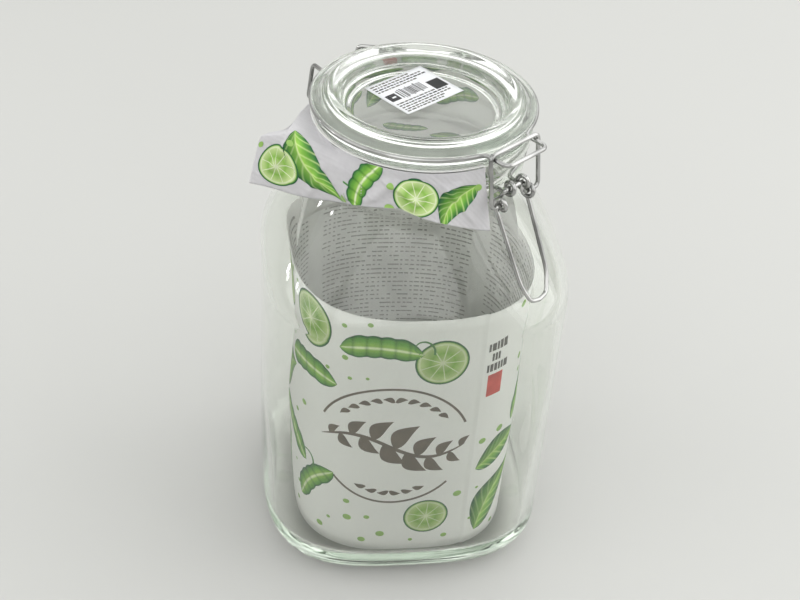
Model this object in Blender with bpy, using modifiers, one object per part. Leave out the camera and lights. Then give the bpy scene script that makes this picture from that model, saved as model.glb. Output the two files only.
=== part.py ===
# Clip top jar: a square glass jar with a round neck, a hinged glass lid on a seal,
# a wire latch, and a rolled sheet of printed paper inside.
# Sizes in the first block are millimetres. The model is in metres, and +Z is up.
# The jar's flat sides face along X and Y, and the latch is near one corner.
import bpy
import bmesh
from math import sin, cos, radians, degrees, asin, pi
from mathutils import Vector, Matrix

MM = 0.001

# Glass body
BODY_HALF = 71.5
BODY_SQUARENESS = 3.3
FOOT_HALF = 49.0
BASE_RISE = 20.5
SIDE_TOP = 156.6
WALL = 4.0
FLOOR_TOP = 8.0
NECK_JOIN_HEIGHT = 207.0
NECK_RADIUS = 47.0
MOUTH_RADIUS = 40.0
GROOVE_HEIGHT = 221.0
GROOVE_RADIUS = 46.1
LEDGE_RADIUS = 49.5
RIM_TOP = 233.4
SECTION_POINTS = 56

# Seal and lid
SEAL_GAP = 0.3
SEAL_THICKNESS = 2.6
SEAL_INNER = 37.7
SEAL_OUTER = 49.2
LID_RADIUS = 50.2
LID_GROOVE_RADIUS = 49.0
PLUG_RADIUS = 37.3
RIDGE_RADIUS = 40.8
PANEL_RADIUS = 35.2
LID_STEPS = 48

# Wires
WIRE = 2.0
WIRE_GAP = 0.25
COIL_RADIUS = 2.7
COIL_PITCH = 2.15

# Latch and hinge, measured from the jar's axis along the latch's direction
LATCH_ANGLE = -52.0
LEVER_OUT = 57.4
LEVER_UP = 223.5
CRANK = 6.5
BAR_OUT = 53.7
BAIL_HALF = 15.1
LOOP_OUT = 61.6
LOOP_HALF = 12.7
TAIL_TIP_OUT = 78.3
TAIL_TIP_UP = 173.6
HINGE_OUT = -58.5
HINGE_UP = 219.0
HINGE_HALF = 16.0

# Paper
LINER_HALF = 57.0
LINER_SQUARENESS = 2.6
LINER_BOTTOM = 10.2
LINER_TOP = 160.0
PAPER = 0.5
FLAP_RADIUS = 50.6
FLAP_TOP = 233.1
FLAP_START = -66.0
FLAP_SLANT = 6.0
FLAP_CREST = -107.0
FLAP_CREST_UP = 215.0
FLAP_LEAVES = -127.0
LABEL_SIZE = (34.6, 28.6)
LABEL_CENTRE = (-2.6, 12.9)
LABEL_TURN = 36.4
LABEL_THICKNESS = 0.25

SEAL_BOTTOM = RIM_TOP + SEAL_GAP
LID_BOTTOM = SEAL_BOTTOM + SEAL_THICKNESS + SEAL_GAP
LID_WIRE_HEIGHT = LID_BOTTOM + 2.8
LID_WIRE_RADIUS = LID_GROOVE_RADIUS + WIRE_GAP + WIRE / 2
BAR_UP = LID_WIRE_HEIGHT + WIRE + 0.3
NECK_WIRE_RADIUS = GROOVE_RADIUS + WIRE_GAP + WIRE / 2
BAIL_PIVOT_UP = LEVER_UP - CRANK
PANEL_TOP = LID_BOTTOM + 0.1


for item in list(bpy.data.objects):
    bpy.data.objects.remove(item, do_unlink=True)

jar_collection = bpy.data.collections.new("clip_top_jar")
bpy.context.scene.collection.children.link(jar_collection)


# Places: "out" runs from the jar's axis towards the latch, "side" to the right seen from the latch
def place(out, side, up):
    turn = radians(LATCH_ANGLE)
    x = out * cos(turn) - side * sin(turn)
    y = out * sin(turn) + side * cos(turn)
    return Vector((x, y, up)) * MM


def make_material(name, colour, roughness, metallic=0.0, transmission=0.0):
    material = bpy.data.materials.new(name)
    material.use_nodes = True
    shader = material.node_tree.nodes["Principled BSDF"]
    shader.inputs["Base Color"].default_value = (*colour, 1.0)
    shader.inputs["Roughness"].default_value = roughness
    shader.inputs["Metallic"].default_value = metallic
    shader.inputs["Transmission Weight"].default_value = transmission
    return material


GLASS = make_material("glass", (0.86, 0.92, 0.89), 0.03, transmission=0.9)
LID_GLASS = make_material("lid_glass", (0.86, 0.92, 0.89), 0.03, transmission=0.9)
SEAL = make_material("seal", (0.82, 0.85, 0.81), 0.45)
STEEL = make_material("wire", (0.62, 0.62, 0.61), 0.22, metallic=1.0)
LINER = make_material("printed_paper", (0.80, 0.80, 0.79), 0.75)
FLAP = make_material("folded_paper", (0.78, 0.77, 0.78), 0.75)
LABEL = make_material("label", (0.86, 0.87, 0.90), 0.6)


def add_object(name, data, material):
    thing = bpy.data.objects.new(name, data)
    thing.data.materials.append(material)
    jar_collection.objects.link(thing)
    return thing


def move_origin(thing, point):
    # Puts the origin on the joint's axis and leaves the shape where it is.
    thing.data.transform(Matrix.Translation(-point))
    thing.location = point


# Rounded square of a given squareness (2 is a circle) at one height
def section(half_width, squareness, height, count=SECTION_POINTS):
    points = []
    for index in range(count):
        angle = 2 * pi * index / count
        across = abs(cos(angle)) ** squareness + abs(sin(angle)) ** squareness
        radius = half_width / across ** (1 / squareness)
        points.append(Vector((radius * cos(angle), radius * sin(angle), height)) * MM)
    return points


# Joins rings of equal count; the ends are capped, or the last ring meets the first
def loft(name, rings, material, capped=True):
    mesh = bmesh.new()
    made = [[mesh.verts.new(point) for point in ring] for ring in rings]
    pairs = list(zip(made[:-1], made[1:]))
    if not capped:
        pairs.append((made[-1], made[0]))
    for lower, upper in pairs:
        for index in range(len(lower)):
            after = (index + 1) % len(lower)
            mesh.faces.new((lower[index], lower[after], upper[after], upper[index]))
    if capped:
        mesh.faces.new(list(reversed(made[0])))
        mesh.faces.new(made[-1])
    data = bpy.data.meshes.new(name)
    mesh.to_mesh(data)
    mesh.free()
    data.shade_smooth()
    thing = add_object(name, data, material)
    data.set_sharp_from_angle(angle=radians(40))
    return thing


# How far the shoulder has come in at a share of its height, from 1 at its foot to 0 at the neck
def shoulder_share(part):
    return (1 - part ** 1.6) ** 1.6


def corner_rings(side_half, foot_half, low, rise, steps, squareness):
    rings = []
    for step in range(steps + 1):
        angle = pi / 2 * (1 - step / steps)
        half = side_half - (side_half - foot_half) * (1 - cos(angle))
        rings.append((half, squareness, low + rise * (1 - sin(angle))))
    return rings


def shoulder_rings(side_half, neck_radius, low, high, steps):
    rings = []
    for step in range(1, steps):
        part = step / steps
        share = shoulder_share(part)
        half = neck_radius + (side_half - neck_radius) * share
        rings.append((half, 2 + (BODY_SQUARENESS - 2) * share, low + (high - low) * part))
    return rings


def make_jar():
    inner_half = BODY_HALF - WALL
    outside = corner_rings(BODY_HALF, FOOT_HALF, 0.0, BASE_RISE, 6, BODY_SQUARENESS)
    outside.append((BODY_HALF, BODY_SQUARENESS, (BASE_RISE + SIDE_TOP) / 2))
    outside.append((BODY_HALF, BODY_SQUARENESS, SIDE_TOP))
    outside += shoulder_rings(BODY_HALF, NECK_RADIUS, SIDE_TOP, NECK_JOIN_HEIGHT, 8)
    bead = GROOVE_HEIGHT - 5.2
    neck = [(NECK_RADIUS, NECK_JOIN_HEIGHT), (NECK_RADIUS, NECK_JOIN_HEIGHT + 4.0)]
    neck += [(NECK_RADIUS + 1.0, bead), (NECK_RADIUS + 0.6, bead + 2.2)]
    neck += [(GROOVE_RADIUS, GROOVE_HEIGHT - 1.6), (GROOVE_RADIUS, GROOVE_HEIGHT + 1.6)]
    neck += [(LEDGE_RADIUS - 0.6, GROOVE_HEIGHT + 4.4), (LEDGE_RADIUS, GROOVE_HEIGHT + 5.4)]
    neck += [(LEDGE_RADIUS, RIM_TOP - 1.2), (LEDGE_RADIUS - 1.2, RIM_TOP)]
    neck += [(MOUTH_RADIUS + 1.2, RIM_TOP), (MOUTH_RADIUS, RIM_TOP - 1.2)]
    neck += [(MOUTH_RADIUS, GROOVE_HEIGHT), (MOUTH_RADIUS + 0.4, NECK_JOIN_HEIGHT - 1.0)]
    outside += [(radius, 2.0, height) for radius, height in neck]
    low, high = SIDE_TOP - 2.0, NECK_JOIN_HEIGHT - 3.0
    inside = corner_rings(inner_half, FOOT_HALF, FLOOR_TOP, 16.0, 5, BODY_SQUARENESS)
    inside.append((inner_half, BODY_SQUARENESS, low))
    inside += shoulder_rings(inner_half, MOUTH_RADIUS + 1.0, low, high, 8)
    rings = outside + list(reversed(inside))
    return loft("jar_glass", [section(*ring) for ring in rings], GLASS)


# Turned shape: a closed or axis-to-axis profile, top to bottom down its outer side
def turned(name, profile, material, steps, closed):
    points = [(radius * MM, 0.0, height * MM) for radius, height in profile]
    edges = [(index, index + 1) for index in range(len(points) - 1)]
    if closed:
        edges.append((len(points) - 1, 0))
    data = bpy.data.meshes.new(name)
    data.from_pydata(points, edges, [])
    thing = add_object(name, data, material)
    screw = thing.modifiers.new("turn", "SCREW")
    screw.steps = steps
    screw.render_steps = steps
    screw.use_merge_vertices = True
    screw.merge_threshold = 0.00001
    screw.use_smooth_shade = True
    return thing


def make_seal():
    low, high = SEAL_BOTTOM, SEAL_BOTTOM + SEAL_THICKNESS
    profile = [(SEAL_INNER, high), (SEAL_OUTER - 0.6, high), (SEAL_OUTER, high - 0.7)]
    profile += [(SEAL_OUTER, low + 0.7), (SEAL_OUTER - 0.6, low), (SEAL_INNER, low)]
    return turned("seal_ring", profile, SEAL, LID_STEPS, closed=True)


def make_lid():
    low = LID_BOTTOM
    wire = LID_WIRE_HEIGHT
    top = [(0.0, PANEL_TOP), (PANEL_RADIUS, PANEL_TOP), (PANEL_RADIUS + 0.8, PANEL_TOP + 0.9)]
    top += [(RIDGE_RADIUS - 3.3, low + 4.4), (RIDGE_RADIUS - 1.8, low + 7.3)]
    top += [(RIDGE_RADIUS, low + 8.3), (RIDGE_RADIUS + 1.7, low + 8.0)]
    top += [(RIDGE_RADIUS + 3.5, low + 6.8), (RIDGE_RADIUS + 4.5, low + 5.4)]
    top.append((RIDGE_RADIUS + 5.8, low + 5.1))
    edge = [(LID_RADIUS - 1.0, low + 4.9), (LID_RADIUS, low + 4.2)]
    edge += [(LID_RADIUS - 0.1, wire + 1.25), (LID_GROOVE_RADIUS, wire + 0.6)]
    edge += [(LID_GROOVE_RADIUS, wire - 0.6), (LID_RADIUS - 0.1, wire - 1.3)]
    edge += [(LID_RADIUS - 0.1, low + 0.6), (LID_RADIUS - 0.8, low)]
    plug = [(PLUG_RADIUS, low), (PLUG_RADIUS, low - 3.6), (PLUG_RADIUS - 1.0, low - 5.0)]
    plug += [(PLUG_RADIUS - 2.8, low - 5.4), (PLUG_RADIUS - 5.3, low - 4.4), (0.0, low - 4.4)]
    return turned("lid_glass", top + edge + plug, LID_GLASS, LID_STEPS, closed=False)


# Rounds the corners of a path with short arcs; ends stay where they are
def rounded(points, radius, steps=3):
    path = [points[0]]
    for before, corner, after in zip(points[:-2], points[1:-1], points[2:]):
        back = before - corner
        on = after - corner
        reach = min(radius * MM, back.length * 0.45, on.length * 0.45)
        start = corner + back.normalized() * reach
        end = corner + on.normalized() * reach
        for step in range(steps + 1):
            part = step / steps
            first = start.lerp(corner, part)
            path.append(first.lerp(corner.lerp(end, part), part))
    path.append(points[-1])
    return path


def make_wire(name, points, cyclic=False):
    data = bpy.data.curves.new(name, "CURVE")
    data.dimensions = "3D"
    data.bevel_depth = WIRE / 2 * MM
    data.bevel_resolution = 2
    data.use_fill_caps = True
    data.resolution_u = 1
    spline = data.splines.new("POLY")
    spline.points.add(len(points) - 1)
    for target, point in zip(spline.points, points):
        target.co = (*point, 1.0)
    spline.use_cyclic_u = cyclic
    return add_object(name, data, STEEL)


# Coil round a sideways axis, from one angle to another, while it moves along "side"
def coil(out, up, start, end, side, pitch, steps=13):
    points = []
    for step in range(steps + 1):
        part = step / steps
        angle = radians(start + (end - start) * part)
        along = side + pitch * (end - start) / 360 * part
        points.append(place(out + COIL_RADIUS * cos(angle), along, up + COIL_RADIUS * sin(angle)))
    return points


def mirrored(points):
    # The same path on the other side of the latch's middle plane.
    turn = radians(LATCH_ANGLE)
    across = Vector((-sin(turn), cos(turn), 0.0))
    return [point - across * (2 * point.dot(across)) for point in points]


def ring_arc(radius, height, start, end, steps):
    points = []
    for step in range(steps + 1):
        angle = radians(start + (end - start) * step / steps)
        points.append(place(radius * cos(angle), radius * sin(angle), height))
    return points


# Neck wire, one half: the lever's eye, the arm, half of the band and a hinge eye
def make_neck_wire():
    eye_side = 5.2
    hinge_side = 9.0
    arm_up = LEVER_UP - COIL_RADIUS
    front_angle = 13.0
    rear_angle = 165.0
    eye = coil(LEVER_OUT, LEVER_UP, 650, 270, eye_side - 2.27, -COIL_PITCH)
    band = ring_arc(NECK_WIRE_RADIUS, GROOVE_HEIGHT, front_angle, rear_angle, 17)
    arm = [eye[-1], place(NECK_WIRE_RADIUS + 1.0, eye_side, arm_up), band[0], band[1]]
    rear_up = HINGE_UP + COIL_RADIUS
    hinge_eye = coil(HINGE_OUT, HINGE_UP, 90, 630, hinge_side, -COIL_PITCH, 17)
    rear = [band[-2], band[-1], place(-NECK_WIRE_RADIUS - 0.8, hinge_side, rear_up), hinge_eye[0]]
    link_side = hinge_side - 1.5 * COIL_PITCH
    link_out = HINGE_OUT + 2.2
    link_up = HINGE_UP - COIL_RADIUS
    link = [hinge_eye[-1], place(link_out, link_side, link_up), place(link_out, 0.0, link_up)]
    half = eye[:-1] + rounded(arm, 3.0)[:-1] + band[1:-2] + rounded(rear, 3.0)
    half += hinge_eye[1:-1] + rounded(link, 1.5)
    points = half + list(reversed(mirrored(half[:-1])))
    return make_wire("neck_wire", points)


# Lid wire, one half: the latch loop, half of the ring and a hinge leg
def make_lid_wire():
    height = LID_WIRE_HEIGHT
    front_angle = 18.0
    rear_angle = 159.0
    ring = ring_arc(LID_WIRE_RADIUS, height, front_angle, rear_angle, 17)
    loop = [place(LOOP_OUT, 0.0, height), place(LOOP_OUT, LOOP_HALF, height)]
    loop += [place(LID_WIRE_RADIUS - 0.6, LOOP_HALF, height), ring[0], ring[1]]
    leg_top = HINGE_HALF - 2.0
    leg = [ring[-2], ring[-1], place(HINGE_OUT + 0.6, leg_top, height - 2.4)]
    leg += [place(HINGE_OUT, HINGE_HALF, HINGE_UP), place(HINGE_OUT, 0.0, HINGE_UP)]
    half = rounded(loop, 4.0)[:-1] + ring[1:-2] + rounded(leg, 3.5)
    points = half + list(reversed(mirrored(half[1:-1])))
    thing = make_wire("lid_wire", points, cyclic=True)
    move_origin(thing, place(HINGE_OUT, 0.0, HINGE_UP))
    return thing


# Lever, one half: the axle, the crank arm, an eye for the bail, and the tail
def make_lever():
    arm_side = 7.6
    arm_angle = 180 - degrees(asin(COIL_RADIUS / CRANK))
    tail_angle = 569.0
    eye = coil(LEVER_OUT, BAIL_PIVOT_UP, arm_angle, tail_angle, arm_side, COIL_PITCH, 15)
    axle = [place(LEVER_OUT, 0.0, LEVER_UP), place(LEVER_OUT, arm_side, LEVER_UP), eye[0]]
    half_width = 10.1
    tip = [eye[-1], place(TAIL_TIP_OUT - 4.6, half_width - 1.4, TAIL_TIP_UP + 8.6)]
    tip += [place(TAIL_TIP_OUT - 0.6, 5.0, TAIL_TIP_UP + 0.8), place(TAIL_TIP_OUT, 0.0, TAIL_TIP_UP)]
    half = rounded(axle, 1.6)[:-1] + eye[:-1] + rounded(tip, 7.0, 4)
    points = list(reversed(mirrored(half[1:-1]))) + half
    thing = make_wire("lever_wire", points, cyclic=True)
    move_origin(thing, place(LEVER_OUT, 0.0, LEVER_UP))
    return thing


# Bail: a tall frame over the lid's loop, with its two feet turned in through the lever's eyes
def make_bail():
    foot_side = 6.9
    half = [place(BAR_OUT, 0.0, BAR_UP), place(BAR_OUT, BAIL_HALF, BAR_UP)]
    half += [place(LEVER_OUT, BAIL_HALF, BAIL_PIVOT_UP), place(LEVER_OUT, foot_side, BAIL_PIVOT_UP)]
    half = rounded(half, 3.0, 4)
    points = list(reversed(mirrored(half[1:]))) + half
    thing = make_wire("bail_wire", points)
    move_origin(thing, place(LEVER_OUT, 0.0, BAIL_PIVOT_UP))
    return thing


# Open sheet from rows of points, given its thickness by Solidify
def make_sheet(name, rows, material, thickness):
    mesh = bmesh.new()
    made = [[mesh.verts.new(point) for point in row] for row in rows]
    for upper, lower in zip(made[:-1], made[1:]):
        for index in range(len(upper) - 1):
            mesh.faces.new((upper[index], lower[index], lower[index + 1], upper[index + 1]))
    data = bpy.data.meshes.new(name)
    mesh.to_mesh(data)
    mesh.free()
    data.shade_smooth()
    thing = add_object(name, data, material)
    solid = thing.modifiers.new("paper", "SOLIDIFY")
    solid.thickness = thickness * MM
    solid.offset = 0.0
    return thing


def make_liner():
    half = PAPER / 2
    rings = []
    for offset, heights in ((half, (0.0, 0.5, 1.0)), (-half, (1.0, 0.5, 0.0))):
        for share in heights:
            height = LINER_BOTTOM + (LINER_TOP - LINER_BOTTOM) * share
            rings.append(section(LINER_HALF + offset, LINER_SQUARENESS, height))
    return loft("paper_liner", rings, LINER, capped=False)


# A point at a share of the way along a short list of hand-chosen points, equally shared out
def along(points, share):
    place_in_list = min(share, 0.9999) * (len(points) - 1)
    index = int(place_in_list)
    return Vector(points[index]).lerp(Vector(points[index + 1]), place_in_list - index)


def round_neck(angle, radius, height):
    turn = radians(angle)
    return Vector((radius * cos(turn), radius * sin(turn), height))


# The flap's free end lies in an upright plane that leaves the neck at FLAP_LEAVES
def free_end(distance, height):
    turn = radians(FLAP_LEAVES)
    flat = Vector((cos(turn), sin(turn), 0.0)) * FLAP_RADIUS
    return flat + Vector((sin(turn), -cos(turn), 0.0)) * distance + Vector((0.0, 0.0, height))


# Lower edge of the part that hugs the neck: lowest by the latch, highest two thirds of the way round
def flap_low_edge(angle):
    if angle > FLAP_CREST:
        return FLAP_CREST_UP - 0.33 * (angle - FLAP_CREST)
    return FLAP_CREST_UP + 0.175 * (angle - FLAP_CREST)


# Paper folded out over the rim: it hugs the neck, then runs straight out to a free corner
def make_flap():
    hug_steps = 16
    free_steps = 12
    rows = [[], [], [], []]
    for step in range(hug_steps):
        part = step / hug_steps
        upper = FLAP_START + (FLAP_LEAVES - FLAP_START) * part
        lower = upper + FLAP_SLANT * (1 - part)
        low = flap_low_edge(lower)
        rows[0].append(round_neck(upper, FLAP_RADIUS, FLAP_TOP))
        rows[1].append(round_neck(upper, FLAP_RADIUS + 0.2, FLAP_TOP - 3.0))
        rows[2].append(round_neck((upper + lower) / 2, FLAP_RADIUS + 0.5, (FLAP_TOP - 3.0 + low) / 2))
        rows[3].append(round_neck(lower, FLAP_RADIUS + 0.8, low))
    upper_edge = [round_neck(FLAP_LEAVES - 21 * step, FLAP_RADIUS, FLAP_TOP) for step in range(4)]
    upper_edge += [(-54.8, 0.5, FLAP_TOP), (-57.4, -6.0, FLAP_TOP - 0.6)]
    upper_edge += [(-60.6, -11.5, FLAP_TOP - 1.4), (-69.0, -8.0, FLAP_TOP - 5.4)]
    fold = [free_end(0.0, 230.2), free_end(20.0, 230.9), free_end(40.0, 231.4), free_end(52.8, 226.4)]
    foot = [free_end(0.0, 211.5), free_end(11.0, 208.4), free_end(35.0, 203.6), free_end(58.2, 200.6)]
    outwards = round_neck(FLAP_LEAVES, 1.0, 0.0)
    for step in range(free_steps + 1):
        part = step / free_steps
        crease = along(fold, part)
        hem = along(foot, part) + outwards * 0.8
        belly = outwards * (0.4 + 1.2 * sin(part * pi))
        rows[0].append(along(upper_edge, part))
        rows[1].append(crease)
        rows[2].append(crease.lerp(hem, 0.5) + belly)
        rows[3].append(hem)
    for row in rows:
        row[:] = [point * MM for point in row]
    return make_sheet("paper_flap", rows, FLAP, PAPER)


def make_label():
    bpy.ops.mesh.primitive_cube_add(size=1.0)
    thing = bpy.context.active_object
    thing.name = "price_label"
    for collection in list(thing.users_collection):
        collection.objects.unlink(thing)
    jar_collection.objects.link(thing)
    size = Vector((LABEL_SIZE[0], LABEL_SIZE[1], LABEL_THICKNESS)) * MM
    thing.data.transform(Matrix.Diagonal((*size, 1.0)))
    thing.data.materials.append(LABEL)
    thing.rotation_euler = (0.0, 0.0, radians(LABEL_TURN))
    up = PANEL_TOP + 0.2 + LABEL_THICKNESS / 2
    thing.location = Vector((LABEL_CENTRE[0], LABEL_CENTRE[1], up)) * MM
    return thing


make_jar()
make_neck_wire()
make_liner()
make_flap()
make_seal()
make_lid()
make_lid_wire()
make_label()
make_lever()
make_bail()
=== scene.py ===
import bisect
import random
import bpy
import bmesh
from functools import partial
from math import sin, cos, radians, degrees, asin, exp, pi
from mathutils import Matrix, Vector


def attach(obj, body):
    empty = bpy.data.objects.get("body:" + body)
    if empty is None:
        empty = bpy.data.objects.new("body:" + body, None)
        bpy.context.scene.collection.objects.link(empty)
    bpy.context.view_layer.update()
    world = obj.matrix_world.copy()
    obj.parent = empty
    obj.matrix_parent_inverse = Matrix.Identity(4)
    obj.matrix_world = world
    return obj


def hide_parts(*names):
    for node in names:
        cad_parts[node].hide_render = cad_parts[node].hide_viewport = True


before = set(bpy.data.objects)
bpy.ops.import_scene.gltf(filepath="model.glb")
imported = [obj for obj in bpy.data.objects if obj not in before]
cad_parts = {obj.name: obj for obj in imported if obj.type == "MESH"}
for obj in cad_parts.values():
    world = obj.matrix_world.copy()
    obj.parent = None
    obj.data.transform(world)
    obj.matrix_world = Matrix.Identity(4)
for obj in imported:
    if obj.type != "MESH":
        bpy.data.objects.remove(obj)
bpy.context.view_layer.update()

scene = bpy.context.scene
mm = 0.001      # the dictionaries of shapes below are in millimetres and degrees


def addObject(name, data):
    item = bpy.data.objects.new(name, data)
    scene.collection.objects.link(item)
    return item


# Camera: where the photograph was taken from, with its small roll
view = {
    "place": (-94.0, -542.5, 555.1),
    "azimuth": -9.43,
    "down": 37.94,
    "roll": 4.37,
    "lens": 63.77,
}
camera = addObject("camera", bpy.data.cameras.new("camera"))
camera.data.lens = view["lens"]
camera.data.sensor_width = 36.0
camera.data.clip_start = 0.01
aim = Matrix.Rotation(radians(view["azimuth"]), 4, "Z")
tilt = Matrix.Rotation(radians(90 - view["down"]), 4, "X")
roll = Matrix.Rotation(radians(view["roll"]), 4, "Z")
camera.matrix_world = Matrix.Translation(Vector(view["place"]) * mm) @ aim @ tilt @ roll
scene.camera = camera


# Small helpers for node trees, shader and geometry alike
def feed(tree, socket, value):
    if isinstance(value, bpy.types.NodeSocket):
        tree.links.new(value, socket)
    else:
        socket.default_value = value


def calc(tree, operation, *values):
    node = tree.nodes.new("ShaderNodeMath")
    node.operation = operation
    for socket, value in zip(node.inputs, values):
        feed(tree, socket, value)
    return node.outputs[0]


def addNode(tree, kind, values=None, **settings):
    node = tree.nodes.new(kind)
    for name, value in settings.items():
        setattr(node, name, value)
    for name, value in (values or {}).items():
        feed(tree, next(item for item in node.inputs if item.name == name and item.enabled), value)
    return node


def colourRamp(tree, amount, stops, easing="LINEAR"):
    node = tree.nodes.new("ShaderNodeValToRGB")
    ramp = node.color_ramp
    ramp.interpolation = easing
    while len(ramp.elements) < len(stops):
        ramp.elements.new(0.5)
    for element, (position, colour) in zip(ramp.elements, stops):
        element.position = position
        element.color = (*colour, 1.0)
    tree.links.new(amount, node.inputs[0])
    return node.outputs[0]


def blendColours(tree, amount, first, second, how="MIX"):
    node = addNode(tree, "ShaderNodeMix", data_type="RGBA", blend_type=how)
    for index, value in ((0, amount), (6, first), (7, second)):
        feed(tree, node.inputs[index], (*value, 1.0) if isinstance(value, tuple) else value)
    return node.outputs[2]


def finish(name, **values):
    material = bpy.data.materials.new(name)
    material.use_nodes = True
    shader = material.node_tree.nodes["Principled BSDF"]
    for socket, value in values.items():
        shader.inputs[socket.replace("_", " ")].default_value = value
    return material, material.node_tree, shader


def objectNoise(tree, scale, detail=4.0, roughness=0.55, stretch=(1.0, 1.0, 1.0)):
    place = addNode(tree, "ShaderNodeTexCoord").outputs["Object"]
    mapped = addNode(tree, "ShaderNodeMapping", {"Vector": place, "Scale": stretch}).outputs[0]
    values = {"Vector": mapped, "Scale": scale, "Detail": detail, "Roughness": roughness}
    return addNode(tree, "ShaderNodeTexNoise", values).outputs["Fac"]


def addBump(tree, shader, height, strength, distance):
    values = {"Height": height, "Strength": strength, "Distance": distance}
    tree.links.new(addNode(tree, "ShaderNodeBump", values).outputs[0], shader.inputs["Normal"])


# Materials
def makeGlass(name):
    material, tree, shader = finish(
        name, Base_Color=(0.962, 0.974, 0.948, 1.0), Roughness=0.0, IOR=1.5, Transmission_Weight=1.0)
    addBump(tree, shader, objectNoise(tree, 16.0, 2.0), 0.2, 0.0008)
    depth = addNode(tree, "ShaderNodeVolumeAbsorption", {"Color": (0.79, 0.88, 0.79, 1.0), "Density": 7.5})
    tree.links.new(depth.outputs[0], tree.nodes["Material Output"].inputs["Volume"])
    return material


def makeWireSteel():
    material, tree, shader = finish("wireSteel", Metallic=1.0)
    drawn = objectNoise(tree, 420.0, 3.0)
    patches = objectNoise(tree, 60.0, 2.0)
    tree.links.new(calc(tree, "MULTIPLY_ADD", patches, 0.12, 0.05), shader.inputs["Roughness"])
    tint = colourRamp(tree, patches, [(0.35, (0.27, 0.27, 0.265)), (0.65, (0.52, 0.52, 0.51))])
    tree.links.new(tint, shader.inputs["Base Color"])
    addBump(tree, shader, drawn, 0.10, 0.0001)
    return material


def makeSealRubber():
    material, tree, shader = finish("sealRubber", Roughness=0.24, Transmission_Weight=0.9, IOR=1.42)
    cloud = objectNoise(tree, 90.0)
    tint = colourRamp(tree, cloud, [(0.3, (0.78, 0.82, 0.77)), (0.7, (0.87, 0.90, 0.86))])
    tree.links.new(tint, shader.inputs["Base Color"])
    addBump(tree, shader, cloud, 0.1, 0.0002)
    return material


# Paper: fine fibres, faint clouding and a soft ribbing that runs up the sheet
def makePaper(name, light, dark, ribbing):
    material, tree, shader = finish(
        name, Roughness=0.72, Specular_IOR_Level=0.3, Subsurface_Weight=0.42,
        Subsurface_Radius=(1.0, 1.0, 1.0), Subsurface_Scale=0.0009)
    cloud = objectNoise(tree, 35.0, 5.0)
    fibre = objectNoise(tree, 900.0, 3.0, 0.6, (1.0, 1.0, 0.25))
    tint = colourRamp(tree, cloud, [(0.3, dark), (0.72, light)])
    fibreTint = colourRamp(tree, fibre, [(0.3, (0.97, 0.97, 0.97)), (0.7, (1.0, 1.0, 1.0))])
    tree.links.new(blendColours(tree, 1.0, tint, fibreTint, "MULTIPLY"), shader.inputs["Base Color"])
    place = addNode(tree, "ShaderNodeTexCoord").outputs["Object"]
    ribs = addNode(tree, "ShaderNodeTexWave", {
        "Vector": place, "Scale": 210.0, "Distortion": 1.5, "Detail": 1.0}, bands_direction="DIAGONAL")
    height = calc(tree, "MULTIPLY_ADD", ribs.outputs["Fac"], ribbing, fibre)
    addBump(tree, shader, height, 0.35, 0.0001)
    return material


# A print reads each motif's own map: the first number runs along it, the second across it
def printMap(tree):
    node = addNode(tree, "ShaderNodeUVMap", uv_map="print")
    parts = addNode(tree, "ShaderNodeSeparateXYZ", {"Vector": node.outputs[0]})
    return parts.outputs[0], parts.outputs[1]


def makePrint(name, paint):
    material, tree, shader = finish(name, Roughness=0.6, Specular_IOR_Level=0.3)
    colour = paint(tree)
    blot = objectNoise(tree, 160.0, 4.0)
    wash = colourRamp(tree, blot, [(0.25, (0.78, 0.80, 0.76)), (0.7, (1.12, 1.1, 1.1))])
    tree.links.new(blendColours(tree, 1.0, colour, wash, "MULTIPLY"), shader.inputs["Base Color"])
    addBump(tree, shader, objectNoise(tree, 900.0), 0.2, 0.0001)
    return material


greens = {
    "deep": (0.018, 0.105, 0.040),
    "mid": (0.105, 0.300, 0.040),
    "fresh": (0.235, 0.450, 0.075),
    "pale": (0.520, 0.660, 0.290),
    "pith": (0.690, 0.770, 0.520),
}


# Equal humps from 0 to 1, this many to the unit
def humps(tree, amount, count):
    return calc(tree, "ABSOLUTE", calc(tree, "SINE", calc(tree, "MULTIPLY", amount, count * pi)))


def paintLeaf(tree):
    along, across = printMap(tree)
    side = calc(tree, "ABSOLUTE", calc(tree, "MULTIPLY_ADD", across, 2.0, -1.0))
    blade = colourRamp(tree, side, [
        (0.0, greens["pale"]), (0.09, greens["fresh"]), (0.55, greens["mid"]), (0.95, greens["deep"])])
    slanted = calc(tree, "MULTIPLY_ADD", side, -1.6, calc(tree, "MULTIPLY", along, 8.0))
    vein = calc(tree, "MULTIPLY", calc(tree, "POWER", humps(tree, slanted, 1), 14.0), 0.55)
    veined = blendColours(tree, vein, blade, greens["pale"])
    half = colourRamp(tree, across, [(0.46, (1.35, 1.3, 1.25)), (0.54, (0.78, 0.82, 0.8))])
    return blendColours(tree, 1.0, veined, half, "MULTIPLY")


def paintPod(tree):
    along, across = printMap(tree)
    skin = colourRamp(tree, across, [
        (0.0, greens["deep"]), (0.14, greens["mid"]), (0.34, greens["fresh"]), (0.46, greens["pith"]),
        (0.56, greens["fresh"]), (0.8, greens["mid"]), (1.0, greens["deep"])], "EASE")
    beads = calc(tree, "POWER", humps(tree, along, 6), 0.7)
    ends = colourRamp(tree, beads, [(0.0, (0.62, 0.72, 0.62)), (0.7, (1.15, 1.15, 1.1))])
    return blendColours(tree, 1.0, skin, ends, "MULTIPLY")


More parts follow.
